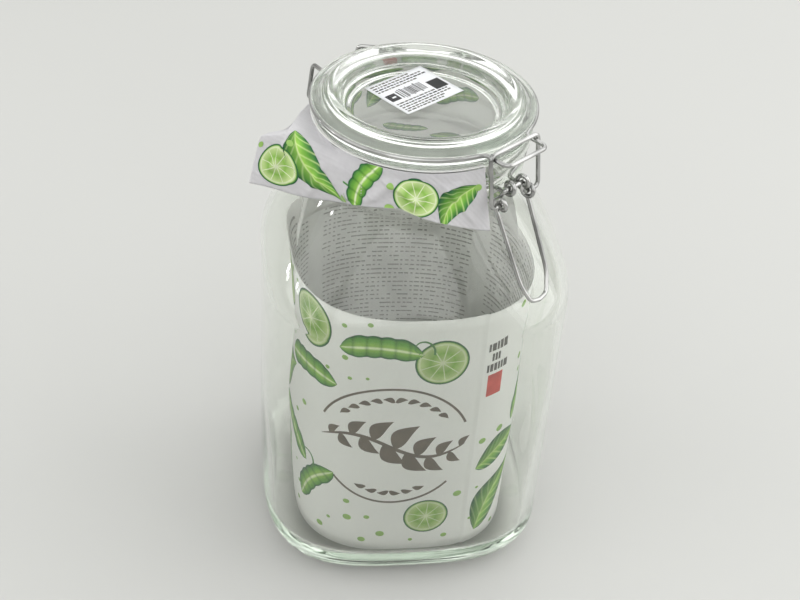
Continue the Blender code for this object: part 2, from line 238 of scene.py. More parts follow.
def paintSlice(tree):
    out, turn = printMap(tree)
    wheel = colourRamp(tree, out, [
        (0.0, greens["pith"]), (0.10, greens["pale"]), (0.45, greens["fresh"]), (0.80, greens["pale"]),
        (0.84, greens["pith"]), (0.90, greens["pale"]), (0.93, greens["mid"]), (0.97, greens["deep"])])
    thin = calc(tree, "LESS_THAN", calc(tree, "MULTIPLY", humps(tree, turn, 9), out), 0.085)
    flesh = calc(tree, "MULTIPLY", thin, calc(tree, "LESS_THAN", out, 0.82))
    return blendColours(tree, flesh, wheel, greens["pith"])


def plainInk(colour):
    return lambda tree: blendColours(tree, 0.5, colour, colour)


clearGlass = makeGlass("clearGlass")
lidGlass = makeGlass("lidGlass")
wireSteel = makeWireSteel()
sealRubber = makeSealRubber()
linerPaper = makePaper("linerPaper", (0.97, 0.965, 0.94), (0.94, 0.935, 0.91), 0.10)
# The flap's paper is the liner's white paper painted darker and greyer: painted shade for the hanging flap
flapPaperWithPaintedShade = makePaper("flapPaperWithPaintedShade", (0.62, 0.61, 0.625), (0.51, 0.50, 0.52), 2.2)
labelPaper = makePaper("labelPaper", (0.88, 0.89, 0.92), (0.83, 0.84, 0.88), 0.0)
painters = {"leafPrint": paintLeaf, "podPrint": paintPod, "slicePrint": paintSlice}
for inkName, colour in {
        "dotPrint": (0.30, 0.50, 0.13), "stemPrint": (0.09, 0.26, 0.07), "brownInk": (0.155, 0.125, 0.095),
        "greyInk": (0.12, 0.115, 0.105), "redInk": (0.62, 0.09, 0.07), "blackInk": (0.03, 0.03, 0.032),
        "faintInk": (0.47, 0.455, 0.43)}.items():
    painters[inkName] = plainInk(colour)
printInks = [makePrint(inkName, paint) for inkName, paint in painters.items()]
inkNames = list(painters)
print("materials made")


def evaluate(source):
    bpy.context.view_layer.update()
    return source.evaluated_get(bpy.context.evaluated_depsgraph_get())


# Turns a tree's or modifier's result into a plain mesh piece that rides on a body
def bake(name, source, body, slotName, *nodes):
    data = bpy.data.meshes.new_from_object(evaluate(source))
    old = source.data
    bpy.data.objects.remove(source, do_unlink=True)
    if isinstance(old, bpy.types.Mesh):
        bpy.data.meshes.remove(old)
    data.name = name
    work = bmesh.new()
    work.from_mesh(data)
    bmesh.ops.recalc_face_normals(work, faces=work.faces)
    work.to_mesh(data)
    work.free()
    piece = addObject(name, data)
    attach(piece, body)
    if nodes:
        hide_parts(*nodes)
    print(name, "made with", len(data.polygons), "faces")


def newTree(name, **inputs):
    tree = bpy.data.node_groups.new(name, "GeometryNodeTree")
    for label, kind in {"Geometry": "Geometry", **inputs}.items():
        tree.interface.new_socket(label, in_out="INPUT", socket_type="NodeSocket" + kind)
    tree.interface.new_socket("Geometry", in_out="OUTPUT", socket_type="NodeSocketGeometry")
    return tree, tree.nodes.new("NodeGroupInput").outputs


def closeTree(tree, geometry, material):
    solid = addNode(tree, "GeometryNodeRealizeInstances", {"Geometry": geometry}).outputs[0]
    shaded = addNode(tree, "GeometryNodeSetShadeSmooth", {"Geometry": solid}).outputs[0]
    painted = addNode(tree, "GeometryNodeSetMaterial", {"Geometry": shaded, "Material": material})
    tree.links.new(painted.outputs[0], tree.nodes.new("NodeGroupOutput").inputs[0])


def applyTree(source, tree, values):
    modifier = source.modifiers.new(tree.name, "NODES")
    modifier.node_group = tree
    for item in tree.interface.items_tree:
        if item.item_type == "SOCKET" and item.in_out == "INPUT" and item.name in values:
            modifier[item.identifier] = values[item.name]


# Section tree: carries a profile round the axis, round or as a rounded square. Each profile point
# holds its half width, its height and how square its section is (2 is a circle).
def makeSectionTree():
    tree, given = newTree("sectionRound", Segments="Int", Material="Material")
    sums = partial(calc, tree)
    profile = given["Geometry"]
    count = addNode(tree, "GeometryNodeAttributeDomainSize", {"Geometry": profile}).outputs["Point Count"]
    across = sums("ADD", given["Segments"], 1.0)
    grid = addNode(tree, "GeometryNodeMeshGrid", {
        "Size X": 1.0, "Size Y": 1.0, "Vertices X": across, "Vertices Y": count}).outputs["Mesh"]
    index = addNode(tree, "GeometryNodeInputIndex").outputs[0]
    column = sums("FLOOR", sums("DIVIDE", sums("ADD", index, 0.5), count))
    row = sums("SUBTRACT", index, sums("MULTIPLY", column, count))
    angle = sums("MULTIPLY", sums("DIVIDE", column, given["Segments"]), 2 * pi)
    place = addNode(tree, "GeometryNodeInputPosition").outputs[0]
    square = addNode(tree, "GeometryNodeInputNamedAttribute", {"Name": "squareness"}, data_type="FLOAT")
    point = addNode(tree, "GeometryNodeSampleIndex", {
        "Geometry": profile, "Value": place, "Index": row}, data_type="FLOAT_VECTOR").outputs[0]
    power = addNode(tree, "GeometryNodeSampleIndex", {
        "Geometry": profile, "Value": square.outputs["Attribute"], "Index": row},
        data_type="FLOAT").outputs[0]
    parts = addNode(tree, "ShaderNodeSeparateXYZ", {"Vector": point}).outputs
    sideways = sums("COSINE", angle)
    inwards = sums("SINE", angle)
    first = sums("POWER", sums("ABSOLUTE", sideways), power)
    second = sums("POWER", sums("ABSOLUTE", inwards), power)
    spread = sums("POWER", sums("ADD", first, second), sums("DIVIDE", 1.0, power))
    radius = sums("DIVIDE", parts[0], spread)
    target = addNode(tree, "ShaderNodeCombineXYZ", {
        "X": sums("MULTIPLY", radius, sideways),
        "Y": sums("MULTIPLY", radius, inwards),
        "Z": parts[2]}).outputs[0]
    moved = addNode(tree, "GeometryNodeSetPosition", {"Geometry": grid, "Position": target}).outputs[0]
    merged = addNode(tree, "GeometryNodeMergeByDistance", {
        "Geometry": moved, "Distance": 0.000002}).outputs[0]
    closeTree(tree, merged, given["Material"])
    return tree


sectionTree = makeSectionTree()


def sectionPiece(name, profile, segments, material, body, slotName, node):
    data = bpy.data.meshes.new(name)
    points = [(half * mm, 0.0, height * mm) for half, power, height in profile]
    data.from_pydata(points, [(index, index + 1) for index in range(len(points) - 1)], [])
    data.attributes.new("squareness", "FLOAT", "POINT")
    for target, (half, power, height) in zip(data.attributes["squareness"].data, profile):
        target.value = power
    source = addObject(name, data)
    applyTree(source, sectionTree, {"Segments": segments, "Material": material})
    bake(name, source, body, slotName, node)


# Rounds the corners of a path of vectors; ends stay where they are
def rounded(points, radius, steps):
    path = [points[0]]
    for before, corner, after in zip(points[:-2], points[1:-1], points[2:]):
        back = before - corner
        on = after - corner
        reach = min(radius, back.length * 0.45, on.length * 0.45)
        start = corner + back.normalized() * reach
        end = corner + on.normalized() * reach
        for step in range(steps + 1):
            part = step / steps
            path.append(start.lerp(corner, part).lerp(corner.lerp(end, part), part))
    path.append(points[-1])
    return path


def softProfile(points, radius, steps=4):
    path = rounded([Vector((half, 0.0, height)) for half, height in points], radius, steps)
    return [(point.x, 2.0, point.z) for point in path]


# Jar glass
jarGlass = {
    "half": 71.5, "squareness": 3.3, "foot": 49.0, "baseRise": 20.5, "sideTop": 156.6,
    "wall": 4.0, "floor": 8.0, "floorRise": 16.0, "neckJoin": 207.0, "neck": 47.0, "mouth": 40.0,
    "groove": 221.0, "grooveRadius": 46.1, "ledge": 49.5, "rim": 233.4, "segments": 176,
    "hollow": 1.8, "footRing": 4.0, "hollowSlope": 12.0, "hollowSteps": 8,
    "sideStep": 34.0, "shoulderPower": 1.6, "soft": 1.4,
}


def baseCurve(half, foot, low, rise, steps):
    rows = []
    for step in range(steps + 1):
        angle = pi / 2 * (1 - step / steps)
        width = half - (half - foot) * (1 - cos(angle))
        rows.append((width, jarGlass["squareness"], low + rise * (1 - sin(angle))))
    return rows


def shoulderCurve(half, neck, low, high, steps):
    rows = []
    bend = jarGlass["shoulderPower"]
    for step in range(1, steps):
        part = step / steps
        share = (1 - part ** bend) ** bend
        power = 2 + (jarGlass["squareness"] - 2) * share
        rows.append((neck + (half - neck) * share, power, low + (high - low) * part))
    return rows


def makeJarGlass():
    jar = jarGlass
    power = jar["squareness"]
    outside = [(0.0, power, jar["hollow"])]
    ring = jar["foot"] - jar["footRing"]
    for step in range(jar["hollowSteps"] + 1):
        part = step / jar["hollowSteps"]
        half = ring - jar["hollowSlope"] * (1 - part)
        outside.append((half, power, jar["hollow"] * (0.5 + 0.5 * cos(pi * part))))
    outside += baseCurve(jar["half"], jar["foot"], 0.0, jar["baseRise"], 18)
    outside += [(jar["half"], power, jar["baseRise"] + jar["sideStep"] * step) for step in (1, 2, 3)]
    outside.append((jar["half"], power, jar["sideTop"]))
    outside += shoulderCurve(jar["half"], jar["neck"], jar["sideTop"], jar["neckJoin"], 34)
    neck, groove, ledge, rim, mouth = (jar[key] for key in ("neck", "groove", "ledge", "rim", "mouth"))
    top = [(neck, jar["neckJoin"]), (neck, groove - 10.0), (neck + 1.0, groove - 5.2)]
    top += [(neck + 0.6, groove - 3.0), (jar["grooveRadius"], groove - 1.6)]
    top += [(jar["grooveRadius"], groove + 1.6), (ledge - 0.6, groove + 4.4), (ledge, groove + 5.4)]
    top += [(ledge, rim), (mouth, rim), (mouth, groove), (mouth + 0.4, jar["neckJoin"] - 1.0)]
    outside += softProfile(top, jar["soft"])
    inner = jar["half"] - jar["wall"]
    low, high = jar["sideTop"] - 2.0, jar["neckJoin"] - 3.0
    inside = [(0.0, power, jar["floor"])]
    inside += baseCurve(inner, jar["foot"], jar["floor"], jar["floorRise"], 14)
    inside.append((inner, power, low))
    inside += shoulderCurve(inner, mouth + 1.0, low, high, 30)
    sectionPiece("jar_body", outside + inside[::-1], jar["segments"], clearGlass,
                 "jar", "glass", "jar_glass")


makeJarGlass()


# Lid and seal. The lid's ridge is stepped above and hollow below: "steps" and "arch" hold places out
# from its crest and up from the lid's bottom.
lid = {
    "bottom": 236.6, "radius": 50.2, "groove": 49.0, "wireHeight": 239.4, "plug": 37.3,
    "ridge": 40.8, "panel": 35.2, "panelTop": 236.7, "segments": 192, "soft": 1.3,
    "steps": [(-4.1, 3.0), (-3.1, 3.7), (-2.5, 6.0), (-1.5, 7.3), (0.0, 8.3),
              (1.5, 8.1), (2.4, 7.3), (3.5, 7.0), (4.5, 5.4), (5.8, 5.3)],
    "arch": [(6.6, 0.0), (4.6, 1.6), (2.2, 3.9), (-0.4, 4.2), (-1.7, 2.0)],
}
seal = {"inner": 37.7, "outer": 49.2, "bottom": 233.7, "thickness": 2.6, "soft": 0.9}


def makeLidGlass():
    low, ridge, wireUp, edge, plug = (lid[key] for key in ("bottom", "ridge", "wireHeight", "radius", "plug"))
    points = [(0.0, lid["panelTop"]), (lid["panel"], lid["panelTop"]), (lid["panel"] + 0.8, low + 1.0)]
    points += [(ridge + out, low + up) for out, up in lid["steps"]]
    points += [(edge - 1.0, low + 4.9), (edge, low + 4.2), (edge - 0.1, wireUp + 1.25)]
    points += [(lid["groove"], wireUp + 0.6), (lid["groove"], wireUp - 0.6)]
    points += [(edge - 0.1, wireUp - 1.3), (edge - 0.1, low)]
    points += [(ridge + out, low + up) for out, up in lid["arch"]]
    points += [(plug + 0.9, low), (plug, low), (plug, low - 3.6), (plug - 1.0, low - 5.0)]
    points += [(plug - 2.8, low - 5.4), (plug - 5.3, low - 4.4), (0.0, low - 4.4)]
    profile = softProfile(points, lid["soft"])
    sectionPiece("lid_disc", profile, lid["segments"], lidGlass, "lid", "lid_glass", "lid_glass")


def makeSealRing():
    low, high = seal["bottom"], seal["bottom"] + seal["thickness"]
    middle = (seal["inner"] + seal["outer"]) / 2
    points = [(middle, high), (seal["outer"], high), (seal["outer"], low), (seal["inner"], low)]
    points += [(seal["inner"], high), (middle, high)]
    profile = softProfile(points, seal["soft"])
    sectionPiece("lid_seal", profile, lid["segments"], sealRubber, "lid", "seal", "seal_ring")


makeLidGlass()
makeSealRing()


# Wires: a tree sweeps a round section along each path
def makeWireTree():
    tree, given = newTree("roundWire", Radius="Float", Sides="Int", Material="Material")
    ring = addNode(tree, "GeometryNodeCurvePrimitiveCircle", {
        "Resolution": given["Sides"], "Radius": given["Radius"]}).outputs["Curve"]
    sweep = addNode(tree, "GeometryNodeCurveToMesh", {
        "Curve": given["Geometry"], "Profile Curve": ring, "Fill Caps": True}).outputs[0]
    closeTree(tree, sweep, given["Material"])
    return tree


wireTree = makeWireTree()
wire = {"radius": 1.0, "sides": 20, "coil": 2.7, "pitch": 2.15}
latch = {
    "angle": -52.0, "lever": (57.4, 223.5), "crank": 6.5, "bar": (53.7, 241.7), "bailHalf": 15.1,
    "loopOut": 61.6, "loopHalf": 12.7, "tip": (78.3, 173.6), "hinge": (-58.5, 219.0), "hingeHalf": 16.0,
    "neckWire": 47.35, "lidWire": 50.25, "eyeSide": 5.2, "hingeSide": 9.0, "armSide": 7.6, "tailHalf": 10.1,
}


# "out" runs from the jar's axis towards the latch, "side" square to it
def place(out, side, up):
    turn = radians(latch["angle"])
    return Vector((out * cos(turn) - side * sin(turn), out * sin(turn) + side * cos(turn), up))


def mirrored(points):
    turn = radians(latch["angle"])
    across = Vector((-sin(turn), cos(turn), 0.0))
    return [point - across * (2 * point.dot(across)) for point in points]


# Coil from one angle to another, in degrees, that moves sideways by a pitch for each turn
def coil(out, up, start, end, side, steps, direction=1):
    points = []
    for step in range(steps + 1):
        part = step / steps
        angle = radians(start + (end - start) * part)
        along = side + direction * wire["pitch"] * (end - start) / 360 * part
        points.append(place(out + wire["coil"] * cos(angle), along, up + wire["coil"] * sin(angle)))
    return points


def ringArc(radius, height, start, end, steps):
    points = []
    for step in range(steps + 1):
        angle = radians(start + (end - start) * step / steps)
        points.append(place(radius * cos(angle), radius * sin(angle), height))
    return points


def makeWire(name, points, body, node, cyclic=False):
    data = bpy.data.curves.new(name, "CURVE")
    data.dimensions = "3D"
    spline = data.splines.new("POLY")
    spline.points.add(len(points) - 1)
    for target, point in zip(spline.points, points):
        target.co = (*(point * mm), 1.0)
    spline.use_cyclic_u = cyclic
    source = addObject(name, data)
    size = {"Radius": wire["radius"] * mm, "Sides": wire["sides"], "Material": wireSteel}
    applyTree(source, wireTree, size)
    bake(name, source, body, "wire", node)


def makeNeckWire():
    ring, eyeSide, hingeSide, thick = latch["neckWire"], latch["eyeSide"], latch["hingeSide"], wire["coil"]
    (leverOut, leverUp), (out, up) = latch["lever"], latch["hinge"]
    eye = coil(leverOut, leverUp, 650, 270, eyeSide - 2.27, 40, -1)
    band = ringArc(ring, jarGlass["groove"], 13.0, 165.0, 80)
    arm = [eye[-1], place(ring + 1.0, eyeSide, leverUp - thick), band[0], band[4]]
    hingeEye = coil(out, up, 90, 630, hingeSide, 54, -1)
    rear = [band[-5], band[-1], place(-ring - 0.8, hingeSide, up + thick), hingeEye[0]]
    link = [hingeEye[-1]]
    link += [place(out + 2.2, side, up - thick) for side in (hingeSide - 1.5 * wire["pitch"], 0.0)]
    half = eye[:-1] + rounded(arm, 3.0, 8)[:-1] + band[4:-5] + rounded(rear, 3.0, 8)
    half += hingeEye[1:-1] + rounded(link, 1.5, 6)
    makeWire("wire_round_neck", half + mirrored(half[:-1])[::-1], "jar", "neck_wire")


def makeLidWire():
    height, ringRadius, side = lid["wireHeight"], latch["lidWire"], latch["loopHalf"]
    (out, up), half = latch["hinge"], latch["hingeHalf"]
    ring = ringArc(ringRadius, height, 18.0, 159.0, 80)
    loop = [place(latch["loopOut"], 0.0, height), place(latch["loopOut"], side, height)]
    loop += [place(ringRadius - 0.6, side, height), ring[0], ring[4]]
    leg = [ring[-5], ring[-1], place(out + 0.6, half - 2.0, height - 2.4)]
    leg += [place(out, half, up), place(out, 0.0, up)]
    path = rounded(loop, 4.0, 10)[:-1] + ring[4:-5] + rounded(leg, 3.5, 10)
    makeWire("wire_round_lid", path + mirrored(path[1:-1])[::-1], "lid", "lid_wire", True)


def makeLever():
    (out, up), (tipOut, tipUp), side = latch["lever"], latch["tip"], latch["armSide"]
    start = 180 - degrees(asin(wire["coil"] / latch["crank"]))
    eye = coil(out, up - latch["crank"], start, 569.0, side, 44)
    axle = [place(out, 0.0, up), place(out, side, up), eye[0]]
    tail = [eye[-1], place(tipOut - 4.6, latch["tailHalf"] - 1.4, tipUp + 8.6)]
    tail += [place(tipOut - 0.6, 5.0, tipUp + 0.8), place(tipOut, 0.0, tipUp)]
    half = rounded(axle, 1.6, 6)[:-1] + eye[:-1] + rounded(tail, 7.0, 14)
    makeWire("latch_lever", mirrored(half[1:-1])[::-1] + half, "lever", "lever_wire", True)


def makeBail():
    (out, up), (barOut, barUp), side = latch["lever"], latch["bar"], latch["bailHalf"]
    half = [place(barOut, 0.0, barUp), place(barOut, side, barUp)]
    half += [place(out, along, up - latch["crank"]) for along in (side, 6.9)]
    half = rounded(half, 3.0, 10)
    makeWire("latch_bail", mirrored(half[1:])[::-1] + half, "bail", "bail_wire")


makeNeckWire()
makeLidWire()
makeLever()
makeBail()


# Liner: a roll of paper in the jar. Its surface is found from a distance round it and a height.
liner = {
    "half": 57.0, "squareness": 2.6, "bottom": 10.4, "top": 159.8, "thickness": 0.4, "wave": 0.4,
    "seam": 27.5, "seamStep": 0.7, "seamRun": 42.0,
}


def linerRadius(angle):
    power = liner["squareness"]
    return liner["half"] / (abs(cos(angle)) ** power + abs(sin(angle)) ** power) ** (1 / power)


def linerTrack(steps=720):
    angles, lengths = [-pi / 2], [0.0]
    last = Vector((0.0, -liner["half"]))
    for step in range(1, steps + 1):
        angle = -pi / 2 + 2 * pi * step / steps
        point = Vector((cos(angle), sin(angle))) * linerRadius(angle)
        angles.append(angle)
        lengths.append(lengths[-1] + (point - last).length)
        last = point
    return angles, lengths


trackAngles, trackLengths = linerTrack()
linerRound = trackLengths[-1]


# Distance is in millimetres from the middle of the front, growing to the right
def linerPoint(distance, height, lift):
    distance = distance % linerRound
    index = min(bisect.bisect_right(trackLengths, distance), len(trackLengths) - 1)
    span = trackLengths[index] - trackLengths[index - 1]
    part = (distance - trackLengths[index - 1]) / span
    angle = trackAngles[index - 1] + (trackAngles[index] - trackAngles[index - 1]) * part
    rise = (height - liner["bottom"]) / (liner["top"] - liner["bottom"])
    radius = linerRadius(angle) + liner["wave"] * sin(3 * angle + 0.6) * rise ** 2
    past = distance - liner["seam"]
    if 0 <= past < liner["seamRun"]:
        radius += liner["seamStep"] * (1 - past / liner["seamRun"])
    point = Vector((radius * cos(angle), radius * sin(angle), height))
    power = liner["squareness"] - 1
    normal = Vector((abs(cos(angle)) ** power, abs(sin(angle)) ** power, 0.0)).normalized()
    normal.x *= 1 if cos(angle) >= 0 else -1
    normal.y *= 1 if sin(angle) >= 0 else -1
    return point + normal * lift


# Turns a bmesh into a piece with a thickness, grown both ways at offset 0 and inwards at -1
def thicken(name, work, materials, thickness, offset, body, slotName, *nodes):
    data = bpy.data.meshes.new(name)
    work.to_mesh(data)
    work.free()
    for material in materials:
        data.materials.append(material)
    source = addObject(name, data)
    solid = source.modifiers.new("thickness", "SOLIDIFY")
    solid.thickness = thickness * mm
    solid.offset = offset
    bake(name, source, body, slotName, *nodes)


# Adds a grid of quads from a function of two shares, and yields each face with its corners' shares;
# a closed grid meets itself
def addGrid(work, surface, columns, rows, closed=False):
    grid = []
    for column in range(columns if closed else columns + 1):
        shares = [(column / columns, row / rows) for row in range(rows + 1)]
        grid.append([(work.verts.new(surface(*share) * mm), share) for share in shares])
    if closed:
        grid.append(grid[0])
    for left, right in zip(grid[:-1], grid[1:]):
        for row in range(rows):
            corners = (left[row], right[row], right[row + 1], left[row + 1])
            face = work.faces.new([vertex for vertex, share in corners])
            yield face, [share for vertex, share in corners]


def makeSheet(name, surface, columns, rows, thickness, material, body, slotName, *nodes, closed=False):
    work = bmesh.new()
    for face, shares in addGrid(work, surface, columns, rows, closed):
        face.smooth = True
    thicken(name, work, [material], thickness, 0.0, body, slotName, *nodes)


def makeLiner():
    height = liner["top"] - liner["bottom"]
    surface = lambda part, rise: linerPoint(part * linerRound, liner["bottom"] + rise * height, 0.0)
    makeSheet("liner_roll", surface, 400, 24, liner["thickness"], linerPaper,
              "jar", "printed_paper", "paper_liner", closed=True)


makeLiner()


# Motifs: each shape turns two shares, along and across, into a flat place in units of its size
def leafShape(along, across):
    width = 0.27 * sin(pi * along ** 0.8) * (1.0 - 0.25 * along)
    bend = 0.16 * sin(pi * along)
    return along - 0.5, bend + width * (2 * across - 1)


def podShape(along, across):
    width = 0.14 * min(1.0, sin(pi * along) * 1.9) ** 0.7 * (1 + 0.13 * abs(sin(6 * pi * along)))
    bend = 0.42 * (along - along ** 2)
    return along - 0.5, bend + width * (2 * across - 1)


def discShape(along, across):
    angle = 2 * pi * across
    return 0.5 * along * cos(angle), 0.5 * along * sin(angle)


def tendrilShape(along, across):
    turn = 1.5 * pi * along
    reach = 0.5 * (1 - 0.72 * along)
    width = 0.035 * (1.2 - along)
    middle = reach + width * (2 * across - 1)
    return middle * cos(turn) - 0.5, middle * sin(turn) + 0.1 * along


def barShape(along, across):
    return along - 0.5, across - 0.5


# A stem that rises and falls once along its length, thin at both ends
def waveHeight(along):
    return 0.09 * sin(2 * pi * along)


def waveShape(along, across):
    thick = 0.016 * sin(pi * along) ** 0.5
    return along - 0.5, waveHeight(along) + thick * (2 * across - 1)


def ringShape(inner, outer, start, end):
    def shape(along, across):
        angle = radians(start + (end - start) * along)
        radius = outer + (inner - outer) * across
        return radius * cos(angle), radius * sin(angle)
    return shape


motifs = {
    "leaf": {"shape": leafShape, "ink": "leafPrint", "steps": (18, 6)},
    "pod": {"shape": podShape, "ink": "podPrint", "steps": (26, 6)},
    "slice": {"shape": discShape, "ink": "slicePrint", "steps": (8, 36)},
    "dot": {"shape": discShape, "ink": "dotPrint", "steps": (2, 14)},
    "bead": {"shape": leafShape, "ink": "brownInk", "steps": (8, 2)},
    "tendril": {"shape": tendrilShape, "ink": "stemPrint", "steps": (20, 2)},
    "twig": {"shape": leafShape, "ink": "brownInk", "steps": (12, 2)},
    "greyBar": {"shape": barShape, "ink": "greyInk", "steps": (4, 1)},
    "redBar": {"shape": barShape, "ink": "redInk", "steps": (4, 4)},
    "blackBar": {"shape": barShape, "ink": "blackInk", "steps": (2, 2)},
}


# Presses one motif onto a surface, slightly proud of it, at a place, size and turn
def press(work, surface, kind, distance, height, size, turn=0.0, stretch=(1.0, 1.0), lift=0.26, detail=1):
    motif = kind if isinstance(kind, dict) else motifs[kind]
    layer = work.loops.layers.uv["print"]
    spin = radians(turn)

    def pressed(along, across):
        x, y = motif["shape"](along, across)
        x, y = x * size * stretch[0], y * size * stretch[1]
        x, y = x * cos(spin) - y * sin(spin), x * sin(spin) + y * cos(spin)
        return surface(distance + x, height + y, lift)

    for face, shares in addGrid(work, pressed, *(steps * detail for steps in motif["steps"])):
        face.material_index = inkNames.index(motif["ink"])
        for loop, share in zip(face.loops, shares):
            loop[layer].uv = share


def pressBar(work, surface, kind, distance, height, wide, tall, lift=0.26):
    press(work, surface, kind, distance, height, 1.0, 0.0, (wide, tall), lift)


def reachFrom(across, up, reach, angle):
    return across + reach * cos(radians(angle)), up + reach * sin(radians(angle))


def startPrint():
    work = bmesh.new()
    work.loops.layers.uv.new("print")
    return work


# Closes a print: seams merged, empty faces dropped, and a film's thickness added
def endPrint(name, work, body, slotName, film=0.05):
    bmesh.ops.remove_doubles(work, verts=work.verts, dist=0.000003)
    flat = [face for face in work.faces if face.calc_area() < 1e-13]
    bmesh.ops.delete(work, geom=flat, context="FACES")
    thicken(name, work, printInks, film, -1.0, body, slotName)


# Print on the outside of the liner: a badge in front, and leaves, pods, slices and dots round it
badge = {
    "distance": -12.0, "height": 83.0, "radius": 38.0, "clear": 40.0, "line": 1.2,
    "arcs": ((22, 158), (221, 319)), "beads": ((40, 140, 10), (242, 298, 6)), "stem": 36.0, "leaves": 13,
}
patch = {"distance": 36.0, "height": 117.0, "wide": 8.8, "tall": 13.0, "rows": 3, "clear": (13.0, 22.0)}
scatter = {
    "seed": 23, "tries": 3000, "size": (36.0, 47.0), "spread": 0.36, "low": 11.0, "high": 160.0,
    "sliceSize": 0.62, "sliceSpread": 0.55, "tilt": 80, "tendrilOut": 0.62, "tendrilSize": 0.34,
    "dotSize": (1.8, 4.8), "dotTries": 700,
}


def clearOf(distance, height, reach):
    fromBadge = Vector((distance - badge["distance"], height - badge["height"])).length
    across, up = patch["clear"]
    fromPatch = max(abs(distance - patch["distance"]) - across, abs(height - patch["height"] - 6.0) - up)
    return fromBadge > badge["clear"] + reach and fromPatch > reach


# True where a round spot keeps off the seam and off every spot already taken
def isFree(taken, distance, height, reach):
    if abs(distance - liner["seam"]) < reach:
        return False
    for otherDistance, otherHeight, otherReach in taken:
        gap = (distance - otherDistance + linerRound / 2) % linerRound - linerRound / 2
        if gap * gap + (height - otherHeight) ** 2 < (reach + otherReach) ** 2:
            return False
    return True


def scatterMotifs(work):
    draw = random.Random(scatter["seed"])
    kinds = ["pod", "slice", "leaf", "pod", "leaf", "slice", "pod", "leaf"]
    taken = []
    for attempt in range(scatter["tries"]):
        kind = kinds[len(taken) % len(kinds)]
        size = draw.uniform(*scatter["size"]) * (scatter["sliceSize"] if kind == "slice" else 1.0)
        reach = size * scatter["sliceSpread" if kind == "slice" else "spread"]
        distance = draw.uniform(-linerRound / 2, linerRound / 2)
        height = draw.uniform(scatter["low"] + size * 0.4, scatter["high"] - size * 0.4)
        turn = draw.uniform(-scatter["tilt"], scatter["tilt"])
        if not clearOf(distance, height, reach * 0.95) or not isFree(taken, distance, height, reach):
            continue
        taken.append((distance, height, reach))
        press(work, linerPoint, kind, distance, height, size, turn)
        if kind == "pod":
            tip = reachFrom(distance, height, scatter["tendrilOut"] * size, turn)
            offSeam = abs(tip[0] - liner["seam"]) > size * 0.3
            if offSeam and clearOf(*tip, 3.0) and tip[1] < scatter["high"] - 4.0:
                size *= scatter["tendrilSize"]
                press(work, linerPoint, "tendril", *tip, size, turn - 20.0, lift=0.29)
    for attempt in range(scatter["dotTries"]):
        size = draw.uniform(*scatter["dotSize"])
        distance = draw.uniform(-linerRound / 2, linerRound / 2)
        height = draw.uniform(scatter["low"] + 2.0, scatter["high"] - 3.0)
        if clearOf(distance, height, size) and isFree(taken, distance, height, size * 0.9):
            taken.append((distance, height, size * 1.6))
            press(work, linerPoint, "dot", distance, height, size, 0.0, (1.0, 0.85), 0.3)


# Ring in two arcs, a sprig that lies across it, and beads that follow the ring inside
def pressBadge(work):
    middle, up, radius, half = (badge[key] for key in ("distance", "height", "radius", "stem"))
    inner = 1.0 - badge["line"] / radius
    for start, end in badge["arcs"]:
        arc = {"shape": ringShape(inner, 1.0, start, end), "ink": "brownInk", "steps": (64, 1)}
        press(work, linerPoint, arc, middle, up, radius)
    for start, end, beads in badge["beads"]:
        for bead in range(beads):
            angle = start + (end - start) * bead / (beads - 1)
            spot = reachFrom(middle, up, 0.8 * radius, angle)
            side = 1.0 if bead < beads / 2 else -1.0
            press(work, linerPoint, "bead", *spot, 6.0, angle - side * 70.0, (1.0, side))
    stem = {"shape": waveShape, "ink": "brownInk", "steps": (60, 1)}
    press(work, linerPoint, stem, middle, up, 2 * half)
    for index in range(badge["leaves"]):
        along = -half + 5.0 + index * (2 * half - 8.0) / (badge["leaves"] - 1)
        rise = 2 * half * waveHeight(along / (2 * half) + 0.5)
        side, lean = (1.0, 52.0) if index % 2 == 0 else (-1.0, -48.0)
        size = 19.0 - 0.34 * abs(along)
        spot = reachFrom(middle + along, up + rise, 0.5 * size, lean)
        press(work, linerPoint, "twig", *spot, size, lean, (1.0, side), 0.28)


# Three rows of plain blocks over a plain square
def pressPatch(work):
    draw = random.Random(8)
    middle = patch["distance"]
    for row in range(patch["rows"]):
        up = patch["height"] + patch["tall"] / 2 + 4.2 + 6.2 * row
        stop = patch["wide"] * (0.7 if row == 1 else 1.25) / 2
        across = -stop
        while across < stop - 0.8:
            wide = draw.choice((1.2, 1.7, 2.3))
            pressBar(work, linerPoint, "greyBar", middle + across + wide / 2, up, wide, 4.4)
            across += wide + 0.6
    pressBar(work, linerPoint, "redBar", middle, patch["height"], patch["wide"], patch["tall"])


def makeLinerPrint():
    work = startPrint()
    scatterMotifs(work)
    pressBadge(work)
    pressPatch(work)
    endPrint("liner_print", work, "jar", "printed_paper")


makeLinerPrint()


# Rows of short grey strokes on the inside of the liner, laid out flat by a tree and then bent round
rowGaps = 0.14


